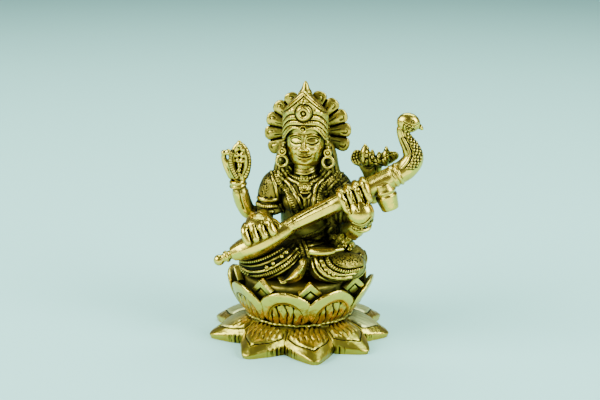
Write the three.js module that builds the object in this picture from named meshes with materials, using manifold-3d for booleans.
// A small cast brass figure of a four-armed goddess who sits on a double lotus and plays the veena.
// Millimetres, +Z up, the figure faces -Y. The origin is the middle of the lotus's underside.
import * as THREE from "three";
import { mergeVertices } from "three/addons/utils/BufferGeometryUtils.js";
import Module from "manifold-3d";

// Driving dimensions of the lotus
const seatHeight = 31; // floor to the flat top that the figure sits on
const seatRadius = 27.5;
const waistHeight = 12.3; // the beaded line between the two tiers
const waistRadius = 24.5;
const waistBead = 0.9; // the beaded line stands this far out of the waist
const skirtRadius = 43.3; // axis to the tips of the lowest petals
const skirtEdge = 3.4; // thickness of a lowest petal at its tip
const cupHeight = 29.6; // floor to the tips of the upper petals
const cupThickness = 2.8;
const budWidth = 11.5; // the small square petals that stand on their corners round the seat
const budHeight = 12.5;
const budThickness = 3.6;
const budTop = 33.2; // floor to the upper corner of a small petal
const budLean = 14; // degrees that a small petal leans outwards
const budTurn = 18; // degrees from the front to the first small petal

// The petals were bent by hand, so their angles from the front and their reach are uneven.
const skirtAngles = [-146, -103, -70, -27, 18, 55, 88, 121, 166];
const cupAngles = [-4.5, 40.5, 85.5, 130.5, 175.5, -139.5, -94.5, -49.5];
const cupReaches = [31, 32, 34.6, 33.5, 33, 33, 33.2, 32];

// Driving dimensions of the figure
const figureHeight = 88.7; // underside to the tip of the crown
const figureParts = 89; // the carver's measure: the figure's height is this many parts
const figureOffset = 3; // the figure sits this far to its left of the lotus's middle
const seatJoint = 0.3; // the joint between the two castings
const petalJoint = 0.4; // what the figure leaves free round the small petals

const brassColour = 0xc9a648;
const wasm = await Module();
wasm.setup();

// Vectors and small sums

const at = (x, y, z) => new THREE.Vector3(x, y, z);
const radians = THREE.MathUtils.degToRad;
const lerp = THREE.MathUtils.lerp;
const forward = at(0, -1, 0);
const upward = at(0, 0, 1);

// The value at share t of a list of evenly spaced values
function along(values, t) {
  const place = t * (values.length - 1);
  const before = Math.min(Math.floor(place), values.length - 2);
  return lerp(values[before], values[before + 1], place - before);
}

const rounded = (value, power) => Math.sign(value) * Math.abs(value) ** power;
const rowOf = (count, a, b) => Array.from({ length: count }, (_, i) => a.clone().lerp(b, i / (count - 1)));
const bothSides = (make) => [make(-1), make(1)];

// Solids: a three.js geometry as a closed solid, and back

function solid(geometry) {
  const bare = new THREE.BufferGeometry();
  bare.setAttribute("position", geometry.getAttribute("position"));
  bare.setIndex(geometry.index);
  const merged = mergeVertices(bare, 1e-4);
  const corners = merged.index.array;
  const triangles = [];
  for (let i = 0; i < corners.length; i += 3) {
    const [a, b, c] = corners.slice(i, i + 3);
    if (a !== b && b !== c && c !== a) triangles.push(a, b, c);
  }
  const make = (list) =>
    new wasm.Manifold(
      new wasm.Mesh({
        numProp: 3,
        vertProperties: merged.attributes.position.array,
        triVerts: new Uint32Array(list),
      }),
    );
  const made = make(triangles);
  return made.volume() < 0 ? make(triangles.reverse()) : made;
}

function geometryOf(shape) {
  const { vertProperties, triVerts, numProp } = shape.getMesh();
  const geometry = new THREE.BufferGeometry();
  geometry.setAttribute("position", new THREE.BufferAttribute(vertProperties, numProp));
  geometry.setIndex(new THREE.BufferAttribute(triVerts, 1));
  geometry.computeVertexNormals();
  return geometry;
}

const join = (shapes) => shapes.flat(Infinity).reduce((whole, piece) => whole.add(piece));

// A closed body swept along points. Width and depth are half sizes at even places along it, rings are
// its full sections, a round share closes each end with one more smaller section, square below 1 makes
// the section boxier, bow bends its sides away from up, and floor stops it going lower.
function sweep(points, width, options = {}) {
  const { depth = width, up = forward, sides = 8, rings = 2, round = 0.14 } = options;
  const { square = 1, bow = 0, floor = -Infinity } = options;
  const curve = new THREE.CatmullRomCurve3(points, false, "centripetal");
  const rows = rowPlaces(rings, round);
  const ball = new THREE.SphereGeometry(1, sides, rows.length - 1);
  const { position, uv } = ball.attributes;
  for (let i = 0; i < position.count; i++) {
    const row = Math.round((1 - uv.getY(i)) * (rows.length - 1));
    const turn = uv.getX(i) * 2 * Math.PI;
    const { t, fullness } = rows[row];
    const tangent = curve.getTangent(t);
    const side = tangent.clone().cross(up).normalize();
    const lift = side.clone().cross(tangent).normalize();
    const x = rounded(Math.cos(turn), square) * along(width, t) * fullness;
    const y = rounded(Math.sin(turn), square) * along(depth, t) * fullness;
    const p = curve.getPoint(t).addScaledVector(side, x).addScaledVector(lift, y - bow * x * x);
    position.setXYZ(i, p.x, p.y, Math.max(p.z, floor));
  }
  return solid(ball);
}

function rowPlaces(rings, round) {
  const first = round || 1 / (rings + 1);
  const body = Array.from({ length: rings }, (_, i) => ({
    t: rings === 1 ? 0.5 : lerp(first, 1 - first, i / (rings - 1)),
    fullness: 1,
  }));
  const shoulders = round ? [round * 0.3, 1 - round * 0.3].map((t) => ({ t, fullness: 0.72 })) : [];
  const ends = [0, 1].map((t) => ({ t, fullness: 0 }));
  return [...ends, ...shoulders, ...body].sort((a, b) => a.t - b.t);
}

// A sharp raised line, such as a hem or a fold
const ridge = (points, size, rings = 4) => sweep(points, [size, size], { sides: 4, rings, round: 0 });

function ellipsoid(centre, size, sides = 8, rows = 6) {
  const ball = new THREE.SphereGeometry(1, sides, rows);
  ball.rotateX(Math.PI / 2);
  ball.scale(size.x, size.y, size.z);
  ball.translate(centre.x, centre.y, centre.z);
  return solid(ball);
}

// Turns a geometry made round its own axis to a new one and sets it on centre
function placed(geometry, centre, from, axis) {
  geometry.applyQuaternion(new THREE.Quaternion().setFromUnitVectors(from, axis.clone().normalize()));
  geometry.translate(centre.x, centre.y, centre.z);
  return solid(geometry);
}

// A turned body from pairs of radius and height
function turned(profile, centre, axis = upward, sides = 10) {
  const points = profile.map(([radius, height]) => new THREE.Vector2(radius, height));
  return placed(new THREE.LatheGeometry(points, sides), centre, at(0, 1, 0), axis);
}

function hoop(centre, axis, radius, thickness, sides = 9) {
  return placed(new THREE.TorusGeometry(radius, thickness, 4, sides), centre, at(0, 0, 1), axis);
}

// The lotus

// A point of the lotus by its angle from the front, its distance from the axis and its height
function polar(angle, radius, height) {
  return at(radius * Math.sin(radians(angle)), -radius * Math.cos(radians(angle)), height);
}

function lotusCore() {
  return turned(
    [
      [0, 0],
      [skirtRadius * 0.76, 0],
      [waistRadius, waistHeight - waistBead],
      [waistRadius + waistBead, waistHeight],
      [waistRadius, waistHeight + waistBead],
      [seatRadius, seatHeight - waistBead],
      [seatRadius - waistBead, seatHeight],
      [0, seatHeight],
    ],
    at(0, 0, 0),
    upward,
    24,
  );
}

function skirtPetal(angle) {
  const span = skirtRadius - waistRadius;
  const half = (Math.PI * skirtRadius) / skirtAngles.length;
  const top = [waistHeight * 0.95, waistHeight * 0.82, waistHeight * 0.64, waistHeight * 0.42, skirtEdge];
  const reach = [-0.24, 0.14, 0.44, 0.74, 1].map((share) => waistRadius + span * share);
  const points = reach.map((radius, i) => polar(angle, radius, top[i] / 2));
  const width = [0.5, 0.68, 0.82, 0.66, 0.18].map((share) => share * half);
  const depth = top.map((height) => height / 2);
  return sweep(
    points,
    width,
    { depth, up: upward, sides: 8, rings: 4, round: 0.06, square: 0.8, floor: 0 },
  );
}

function cupPetal(angle, index) {
  const reach = cupReaches[index];
  const half = (Math.PI * reach) / cupAngles.length;
  const rise = cupHeight - waistHeight;
  const lean = reach - waistRadius;
  const points = [
    polar(angle, waistRadius - 1.5, waistHeight + 0.6),
    polar(angle, waistRadius + lean * 0.5, waistHeight + rise * 0.3),
    polar(angle, waistRadius + lean * 0.86, waistHeight + rise * 0.68),
    polar(angle, reach, cupHeight),
  ];
  const width = [0.6, 0.84, 0.94, 0.7].map((share) => share * half);
  const depth = [0.5, 0.5, 0.45, 0.4].map((share) => share * cupThickness);
  return sweep(
    points,
    width,
    { depth, up: polar(angle, 1, 0), sides: 8, rings: 2, round: 0.24, bow: 0.3 / reach },
  );
}

// A clearance makes the room that the figure leaves round a small petal
function budPetal(angle, clearance) {
  const width = budWidth / 2 + clearance;
  const height = budHeight / 2 + clearance;
  const outline = new THREE.Shape([
    new THREE.Vector2(0, -height),
    new THREE.Vector2(width, 0),
    new THREE.Vector2(0, height),
    new THREE.Vector2(-width, 0),
  ]);
  const depth = budThickness + 2 * clearance;
  const plate = new THREE.ExtrudeGeometry(outline, { depth, bevelEnabled: false, steps: 1 });
  plate.translate(0, 0, -depth / 2);
  plate.rotateX(Math.PI / 2 + radians(budLean));
  plate.translate(0, -seatRadius + budThickness * 0.1, budTop - budHeight / 2);
  plate.rotateZ(radians(angle));
  return solid(plate);
}

function budRing(clearance = 0) {
  const turns = cupAngles.map((_, i) => budTurn + (i * 360) / cupAngles.length);
  return join(turns.map((angle) => budPetal(angle, clearance)));
}

const lotusBase = () => join(
  [lotusCore(), skirtAngles.map(skirtPetal), cupAngles.map(cupPetal), budRing()],
);

// The figure. All its points and sizes are in parts of its height, x to the viewer's right,
// y away from the viewer and z up from the seat, and it is scaled once at the end.

function torso() {
  const trunk = sweep(
    [
      at(0, 3, -2),
      at(0, 3, 6),
      at(0, 2, 14),
      at(0.3, 1, 21),
      at(0.3, 0.8, 29),
      at(0.2, 1, 37),
      at(0, 0.6, 43),
      at(0, 0, 48),
    ],
    [14, 15.5, 12.6, 9.2, 10.4, 12.6, 10, 5.6],
    { depth: [10, 11, 9.4, 7.6, 7.8, 7.6, 6, 4.8], sides: 10, rings: 5, round: 0.08 },
  );
  const neck = sweep([at(0, 0, 42), at(0.1, -1, 48), at(0.3, -1.6, 56)], [6.4, 5.6, 5.6], { rings: 2 });
  const breasts = bothSides((s) => ellipsoid(at(s * 5.6, -5, 34.6), at(4.8, 3.8, 4.4)));
  return [trunk, neck, breasts];
}

// The hems of the sari over the chest: bands from each shoulder that run down to the middle
function chestFolds() {
  return bothSides((s) =>
    [0, 1].map((i) =>
      ridge(
        [
          at(s * (5.4 + 3 * i), -0.4, 45.8 - 1.4 * i),
          at(s * (6.6 + 2.6 * i), -6.6 + 1 * i, 40.6 - i),
          at(s * (4.8 + 2.2 * i), -8.7 + 0.7 * i, 34),
          at(s * (1.8 + 2.2 * i), -7.8, 25),
        ],
        1.3,
        3,
      ),
    ),
  );
}

function necklaces() {
  const loop = (half, top, drop) =>
    ridge(
      [
        at(-half, 0, top),
        at(-half * 0.7, -4.8, top - drop * 0.6),
        at(0, -6.8, top - drop),
        at(half * 0.7, -4.8, top - drop * 0.6),
        at(half, 0, top),
      ],
      1.3,
      3,
    );
  const pendant = turned(
    [[0, -1.6], [2.6, -1.6], [2.6, 0.4], [1.4, 1], [0, 1]],
    at(0.6, -7, 41.4),
    forward,
    8,
  );
  return [loop(6.2, 49.4, 3.2), loop(8, 47.8, 5), pendant];
}

function head() {
  const skull = ellipsoid(at(0.3, -0.6, 63), at(8.2, 8.6, 10), 9, 7);
  const jaw = ellipsoid(at(0.6, -3.2, 56.6), at(7, 6.4, 6), 8, 6);
  const nose = sweep(
    [at(0.5, -8.4, 65), at(0.5, -9.6, 61.2), at(0.5, -8.8, 59.4)],
    [0.7, 1.6, 1.3],
    { sides: 5, rings: 1, round: 0 },
  );
  const lips = ridge([at(-2.6, -7.8, 57.2), at(0.6, -9.6, 56.4), at(3.8, -7.8, 57.2)], 1.3, 1);
  const eyes = bothSides(
    (s) => ridge(
      [at(0.4 + s * 1.6, -8.2, 63.4), at(0.4 + s * 3.9, -8, 63.8), at(0.4 + s * 6.2, -6.2, 63.2)],
      1.2,
      1,
    ),
  );
  const brows = bothSides(
    (s) => ridge(
      [at(0.4 + s, -8.8, 65.4), at(0.4 + s * 3.8, -8.2, 67.2), at(0.4 + s * 6.8, -5.8, 65.2)],
      0.8,
      1,
    ),
  );
  const bindi = turned([[0, -1.4], [1.1, -1.4], [0, 0.8]], at(0.5, -8.6, 68.9), forward, 6);
  return [skull, jaw, nose, lips, eyes, brows, bindi];
}

function ears() {
  const discs = bothSides(
    (s) => turned([[0, -3], [2.8, -3], [2.4, 0.6], [0, 1]], at(0.3 + s * 10.2, -1.6, 55.8), forward, 6),
  );
  const crescents = bothSides(
    (s) => ridge(
      [
        at(0.3 + s * 8.8, -2.6, 53.6),
        at(0.3 + s * 8.4, -2.6, 50),
        at(0.3 + s * 10.6, -2.6, 48.4),
        at(0.3 + s * 12.8, -2.6, 50),
        at(0.3 + s * 12.4, -2.6, 53.6),
      ],
      1.7,
      4,
    ),
  );
  const curls = bothSides(
    (s) => sweep(
      [
        at(0.3 + s * 8.2, -1.6, 68),
        at(0.3 + s * 9.2, -1.4, 62),
        at(0.3 + s * 9.8, 1.4, 53),
        at(0.3 + s * 13.6, 2.6, 44.6),
      ],
      [1.6, 2, 3.2, 5],
      { sides: 5, rings: 3 },
    ),
  );
  return [discs, crescents, curls];
}

function crown() {
  const cap = turned(
    [[0, -6], [9, -4], [10, 1], [9.6, 6], [6.4, 11], [3.2, 13.6], [0, 13.6]],
    at(0.3, 0.6, 67),
    upward,
    8,
  );
  const band = ridge(
    [at(-9.8, 1, 65.6), at(-8.2, -6.4, 70), at(0.4, -10.6, 72.4), at(8.8, -6.4, 70), at(10.4, 1, 65.6)],
    2,
    3,
  );
  const medallion = turned(
    [[0, -3], [3.9, -3], [3.9, 0.6], [2.4, 1.3], [0, 0.8]],
    at(0.4, -9.4, 75.8),
    forward,
    8,
  );
  const finial = turned(
    [[0, -3], [3.8, -2], [2.6, 1], [2.8, 3], [1.8, 5.4], [0, 8.8]],
    at(-0.2, 2, 80.2),
    upward,
    8,
  );
  return [cap, band, gable(1, 0), gable(0.74, 1), medallion, finial];
}

// A pointed plate over the brow, bent so that its sides follow the head
function gable(share, out) {
  const centre = new THREE.Vector2(0.2, 73);
  const corners = [[-9.2, 67], [9.8, 67], [10.6, 72.4], [5, 79.6], [-0.4, 85], [-4.6, 79.4], [-9.8, 72]];
  const outline = corners.map(
    ([x, z]) => new THREE.Vector2(x, z).sub(centre).multiplyScalar(share).add(centre),
  );
  const plate = new THREE.ExtrudeGeometry(
    new THREE.Shape(outline),
    { depth: 6, bevelEnabled: false, steps: 1 },
  );
  plate.rotateX(Math.PI / 2);
  plate.translate(0, -2.2 - out, 0);
  return solid(bentRound(plate));
}

function bentRound(geometry) {
  const { position } = geometry.attributes;
  for (let i = 0; i < position.count; i++) {
    const x = position.getX(i);
    position.setY(i, position.getY(i) + (x * x) / 26);
  }
  return geometry;
}

// The rays behind the head: a disc drawn out into fluted tongues, each with a ridge down its middle
function halo() {
  const rays = 11;
  const steps = 4; // points across a ray: its valley, a shoulder, its ridge and the other shoulder
  const spread = radians(22.2); // from ray to ray
  const tilt = radians(-4);
  const below = 4; // plain steps round the part that the neck hides
  const shift = [0, -0.13, 0, 0.13]; // the shoulders stand near the valley, so that a tongue stays broad
  const reach = [13, 17.6, 19.6, 17.6];
  const height = [0.3, 1.1, 1.9, 1.1];
  const disc = new THREE.SphereGeometry(1, rays * steps + below, 4);
  const { position, uv } = disc.attributes;
  for (let i = 0; i < position.count; i++) {
    const step = Math.round(uv.getX(i) * (rays * steps + below));
    const row = Math.round((1 - uv.getY(i)) * 4);
    const rest = (2 * Math.PI - rays * spread) / below;
    const fanned = Math.min(step, rays * steps);
    const across = fanned < rays * steps ? fanned % steps : 0;
    const angle = tilt + (fanned / steps + shift[across] - rays / 2) * spread + (step - fanned) * rest;
    const radius = [0, 10, reach[across], reach[across], 0][row];
    const y = [-1.6, -0.8 - height[across] * 0.5, -height[across], 1, 1.8][row];
    position.setXYZ(i, 0.4 + radius * Math.sin(angle), 6 + y, 64.4 + radius * Math.cos(angle));
  }
  return solid(disc);
}

function backHair() {
  const fall = sweep(
    [at(0, 6, 72), at(0, 9, 62), at(0, 8.4, 52), at(0, 8.6, 42), at(0, 8.4, 29)],
    [5, 7.6, 7, 4.6, 1.6],
    { depth: [3, 3.2, 3.2, 2.4, 1.4], sides: 6, rings: 3 },
  );
  return [fall];
}

// Arms

// Fingers side by side, each bent through its own middle point
function fingers(roots, middles, tips, size = 1.5) {
  return roots.map(
    (root, i) => sweep(
      [root, middles[i], tips[i]],
      [size, size, size * 0.85],
      { up: at(0.4, -0.4, 0.8), sides: 4, rings: 2, round: 0 },
    ),
  );
}

function frontRightArm() {
  const upper = sweep(
    [at(-8, 1.4, 44), at(-15.4, 1, 40), at(-17, -0.6, 32), at(-17, -5, 25)],
    [4, 7, 6.6, 4.6],
    { sides: 7, rings: 3 },
  );
  const puff = sweep(
    [at(-21.6, -2.6, 31.8), at(-17, -6.2, 30.8), at(-11.4, -4.6, 30.6)],
    [2, 2.3, 1.9],
    { sides: 6, rings: 2 },
  );
  const forearm = sweep(
    [at(-17.4, -3, 26), at(-18.4, -10, 26), at(-19, -17, 27.4)],
    [4.4, 4, 4],
    { up: upward, sides: 6, rings: 2 },
  );
  const palm = sweep(
    [at(-19, -13, 27.4), at(-18.8, -19, 26.6), at(-18, -23, 23)],
    [5, 6.6, 6],
    { depth: [3, 3.6, 2.6], up: upward, sides: 7, rings: 2 },
  );
  const grip = fingers(
    rowOf(4, at(-24.4, -18, 25.6), at(-17, -17.4, 28)),
    rowOf(4, at(-24.6, -23.6, 24.2), at(-15.4, -22.2, 27.4)),
    rowOf(4, at(-21.8, -25.4, 18.8), at(-13, -23.6, 23)),
  );
  const thumb = sweep(
    [at(-18.6, -15, 28), at(-12, -17.6, 27.4), at(-8.4, -20.4, 24.6)],
    [2.4, 2, 1.6],
    { sides: 5, rings: 2, round: 0 },
  );
  return [upper, puff, forearm, palm, grip, thumb];
}

function frontLeftArm() {
  const upper = sweep(
    [at(8, 1.4, 44.4), at(16, 1, 40.6), at(17.4, -1, 31), at(18.6, -5, 21)],
    [4, 7, 6.8, 5.2],
    { sides: 7, rings: 3 },
  );
  const forearm = sweep(
    [at(19.4, -5, 20.4), at(23.4, -11, 22.6), at(27, -16, 28)],
    [4.4, 4.2, 4],
    { up: at(-1, 0, 0.6), sides: 7, rings: 2, round: 0.2 },
  );
  const bangle = hoop(at(27.6, -16.4, 28.2), at(0.2, -0.5, 0.8), 4.2, 1.3, 7);
  const fist = ellipsoid(at(27, -18.6, 33.6), at(6.6, 5.4, 6.6), 8, 6);
  const places = [0.68, 0.72, 0.76, 0.8];
  const grip = fingers(
    places.map((t) => onVeena(t, -1.8, 0, 5)),
    places.map((t) => onVeena(t, 0, -6, 3.2)),
    places.map((t) => onVeena(t, 3.6, -6.4, -4)),
    1.9,
  );
  const knot = ellipsoid(at(19.2, -10, 18.6), at(4, 3.8, 3.8), 6, 5);
  return [upper, forearm, bangle, fist, grip, knot];
}

function rearRightArm() {
  const upper = sweep(
    [at(-10, 4.6, 38), at(-17, 4.4, 32), at(-23.2, 1, 27)],
    [4.4, 4.4, 3.8],
    { sides: 6, rings: 2 },
  );
  const forearm = sweep(
    [at(-21.6, 1.6, 25.8), at(-27.2, -1.4, 31), at(-29.8, -3.6, 43)],
    [3.8, 4.5, 2.9],
    { sides: 7, rings: 3 },
  );
  const bangle = hoop(at(-29.8, -3.6, 41.6), at(-0.1, -0.2, 1), 2.8, 1.2, 6);
  const palm = sweep(
    [at(-29.8, -3.6, 40.6), at(-31, -3.4, 47), at(-31.6, -3, 53)],
    [3.2, 5, 5],
    { depth: [2.6, 2.3, 1.8], sides: 7, rings: 2 },
  );
  const raised = fingers(
    [at(-35, -3.4, 49), at(-33.2, -3.2, 51), at(-30.6, -3, 52)],
    [at(-37, -4.6, 54), at(-34.2, -5, 57), at(-31, -5, 57.4)],
    [at(-35.8, -7.2, 56), at(-33.6, -7.6, 58), at(-30.8, -7, 59.2)],
    1.7,
  );
  const loop = sweep(
    [at(-29.8, -4, 41), at(-25.2, -6, 47.4), at(-24.6, -6, 53), at(-26.6, -6, 58), at(-29.4, -5.4, 61)],
    [1.5, 1.7, 1.6, 1.5, 1],
    { sides: 5, rings: 3, round: 0 },
  );
  const bud = sweep(
    [at(-29.8, -3.6, 42), at(-29.4, -5.2, 53), at(-29.2, -5, 61)],
    [1.8, 2.9, 1],
    { sides: 6, rings: 2, round: 0 },
  );
  return [upper, forearm, bangle, palm, raised, loop, bud];
}

function rearLeftArm() {
  const upper = sweep(
    [at(10, 4.6, 38), at(20, 5, 33), at(30, 3, 32.6)],
    [4.4, 4.4, 3.6],
    { sides: 6, rings: 2 },
  );
  const forearm = sweep(
    [at(30, 3, 31.4), at(32, 2.6, 38), at(30.6, 1.6, 48)],
    [3.4, 3.4, 3],
    { sides: 6, rings: 2 },
  );
  const palm = sweep(
    [at(31, 1.6, 44.6), at(29.6, 1, 50), at(29.4, 0.6, 56)],
    [3, 4.6, 4.6],
    { depth: [2.6, 2.3, 2], sides: 7, rings: 2 },
  );
  const raised = fingers(
    [at(26.4, 0, 51.4), at(30, 0, 53), at(33, 0, 52)],
    [at(26.6, -1.8, 57), at(31.4, -1.8, 57), at(35, -1.4, 56)],
    [at(28, -0.6, 61), at(31.6, -1, 59.6), at(36, -0.6, 60)],
    1.7,
  );
  const leaf = (from, to, half) =>
    sweep(
      [from, from.clone().lerp(to, 0.55), to],
      [1.4, half, 0.9],
      { depth: [1.2, 1.3, 1], sides: 6, rings: 3, round: 0 },
    );
  return [
    upper,
    forearm,
    palm,
    raised,
    leaf(at(29, 1, 50.4), at(20.4, 1.2, 54.6), 3.8),
    leaf(at(31, 0.4, 51.4), at(43.4, 0, 56.8), 4),
  ];
}

// Legs: crossed, the right foot resting on the left thigh

function legs() {
  const limb = { up: upward, sides: 7, rings: 3, round: 0.18 };
  const lap = sweep(
    [at(-17, 0, 5.4), at(0, -8, 8.4), at(17, 0, 6)],
    [9, 10, 9],
    { ...limb, depth: [6, 9, 6] },
  );
  const rightThigh = sweep(
    [at(-7, 3, 7), at(-19, -3, 7.6), at(-28.6, -8.6, 5.4)],
    [8.4, 7.8, 6],
    { ...limb, depth: [7.4, 7.4, 5.8] },
  );
  const leftThigh = sweep(
    [at(7, 3, 7), at(19, -3, 7), at(28.8, -8.6, 6.8)],
    [8.4, 8, 6.6],
    { ...limb, depth: [7.2, 7, 5.8] },
  );
  const rightShin = sweep(
    [at(-28.4, -8.4, 5), at(-15, -16.4, 6.8), at(0, -18, 10.6)],
    [5.8, 6.4, 5.6],
    { ...limb, depth: [5.4, 6.6, 6.6] },
  );
  const leftShin = sweep(
    [at(28.4, -8.4, 6.6), at(17, -16.4, 6.6), at(4, -18.4, 6.8)],
    [6.4, 6.4, 5],
    { ...limb, depth: [5.6, 6.4, 5.8] },
  );
  const foot = (points, depth) => sweep(
    points,
    [2.2, 3, 3.1, 2.2],
    { depth, up: upward, sides: 6, rings: 3, round: 0 },
  );
  const upperFoot = foot(
    [at(3, -21, 14.2), at(9, -21.2, 14.6), at(14.6, -20, 15.6), at(20.6, -17.6, 15.8)],
    [2, 2.2, 1.8, 1.2],
  );
  const lowerFoot = foot(
    [at(4, -21.6, 6.8), at(1, -23.4, 5), at(-4.4, -24.4, 2.8), at(-10, -24.4, 1.8)],
    [5, 4, 2, 1.2],
  );
  return [lap, rightThigh, leftThigh, rightShin, leftShin, upperFoot, lowerFoot];
}

// Bands of the sari that run over the legs, the pleat that hangs between them and the belt
function legFolds() {
  const right = [0, 1].map((i) =>
    ridge(
      [
        at(0.6 - i * 3.6, -16.6, 17.4 - i * 0.6),
        at(-5.6 - i * 2.4, -23.4 + i * 0.7, 8.2 + i * 2.8),
        at(-15.6 - i * 1.6, -22 + i, 3.6 + i * 3.6),
        at(-26.6, -14.6 + i, 2.6 + i * 3.8),
      ],
      1.5,
      4,
    ),
  );
  const left = [0, 1].map((i) =>
    ridge(
      [
        at(6 + i * 3.8, -22.6 + i * 0.7, 13.4),
        at(8.2 + i * 4, -24 + i, 7.2 + i * 0.8),
        at(14.4 + i * 3.4, -22.4 + i * 1.4, 2.8 + i * 2.2),
        at(24.4 + i, -15.8 + i * 0.6, 1.8 + i * 2.2),
      ],
      1.5,
      4,
    ),
  );
  const pleat = sweep(
    [at(1.4, -13, 19.4), at(3, -21, 13.6), at(3, -23.4, 7), at(2.4, -22.6, 1)],
    [2, 2.4, 2.6, 2.8],
    { depth: [1.6, 1.6, 1.6, 1.6], sides: 5, rings: 3, round: 0 },
  );
  const belt = ridge(
    [at(-11.4, 0, 19.6), at(-6, -7.6, 18.2), at(1, -10, 17.6), at(8, -7.6, 18.4), at(12, 0, 20)],
    1.8,
    3,
  );
  return [right, left, pleat, belt];
}

// The veena lies across the body on one straight line, from the bowl at its low end to the bird's neck

const veenaLow = at(-31, -20.6, 12.4);
const veenaHigh = at(42.2, -9.6, 49.4);
const veenaAxis = veenaHigh.clone().sub(veenaLow).normalize();
const onVeena = (t, x = 0, y = 0, z = 0) => veenaLow.clone().lerp(veenaHigh, t).add(at(x, y, z));

function veena() {
  const bowl = sweep(
    [onVeena(-0.01), onVeena(0.1, 0, 0, -0.8), onVeena(0.22, 0, 0, -1.2), onVeena(0.36, 0, 0, -0.6)],
    [3.6, 5.8, 5.6, 2.8],
    { depth: [3.4, 5.4, 5.4, 2.8], up: upward, rings: 4, square: 0.8, round: 0.06 },
  );
  const stem = sweep(
    [onVeena(0.28), onVeena(0.5), onVeena(0.75), onVeena(1)],
    [3, 4.1, 4.5, 5],
    { depth: [2.8, 4, 4.4, 4.8], up: upward, rings: 3, square: 0.8, round: 0.04 },
  );
  const collar = hoop(onVeena(1.005), veenaAxis, 4.2, 1.3, 9);
  const knobNeck = turned([[0, -2], [1.8, -2], [2.4, 0], [1.8, 2], [0, 2]], onVeena(-0.03), veenaAxis, 6);
  const knob = ellipsoid(onVeena(-0.075), at(2.5, 2.5, 2.4), 7, 5);
  const gourd = turned(
    [[0, 3], [4.6, 3], [5, 0.4], [4.3, -0.6], [4.9, -1.6], [3.4, -8], [0, -8.4]],
    onVeena(0.93, 0.6, -1, -5.4),
    at(-0.34, 0, 1),
    8,
  );
  return [bowl, stem, collar, knobNeck, knob, gourd];
}

function peacock() {
  const neck = sweep(
    [
      at(41.6, -9.6, 49.2),
      at(47, -8.4, 52.4),
      at(49.8, -7.6, 57.4),
      at(47.2, -7, 63.6),
      at(44, -6.6, 68.6),
      at(43.2, -6.6, 73),
      at(46, -6.6, 76),
      at(50, -6.6, 74),
    ],
    [4.8, 5, 4.8, 3.6, 3, 2.8, 2.8, 2],
    { depth: [4.6, 4.6, 4.2, 3.2, 2.7, 2.5, 2.5, 1.8], sides: 6, rings: 7, round: 0.04 },
  );
  const skull = ellipsoid(at(47.8, -6.6, 73.2), at(4.1, 2.8, 3.7), 7, 5);
  const beak = sweep(
    [at(50, -6.6, 72.6), at(52.4, -6.6, 71), at(54, -6.6, 69)],
    [1.6, 1.3, 0.6],
    { sides: 5, rings: 1, round: 0 },
  );
  return [neck, skull, beak];
}

function figure() {
  const whole = join([
    torso(),
    chestFolds(),
    necklaces(),
    head(),
    ears(),
    crown(),
    halo(),
    backHair(),
    frontRightArm(),
    frontLeftArm(),
    rearRightArm(),
    rearLeftArm(),
    legs(),
    legFolds(),
    veena(),
    peacock(),
  ]);
  const part = figureHeight / figureParts;
  const seated = whole.trimByPlane([0, 0, 1], 0).scale([part, part, part]);
  return seated.subtract(budRing(petalJoint).translate([-figureOffset, 0, -seatHeight - seatJoint]));
}

// The scene graph

function mesh(name, shape) {
  const brass = new THREE.MeshStandardMaterial({ color: brassColour, metalness: 1, roughness: 0.3 });
  const made = new THREE.Mesh(geometryOf(shape), brass);
  made.name = name;
  return made;
}

const work = new THREE.Group();
const lotus = mesh("lotus_base", lotusBase());
const goddess = mesh("saraswati_figure", figure());
goddess.position.set(figureOffset, 0, seatHeight + seatJoint);
work.add(lotus, goddess);

export default work;
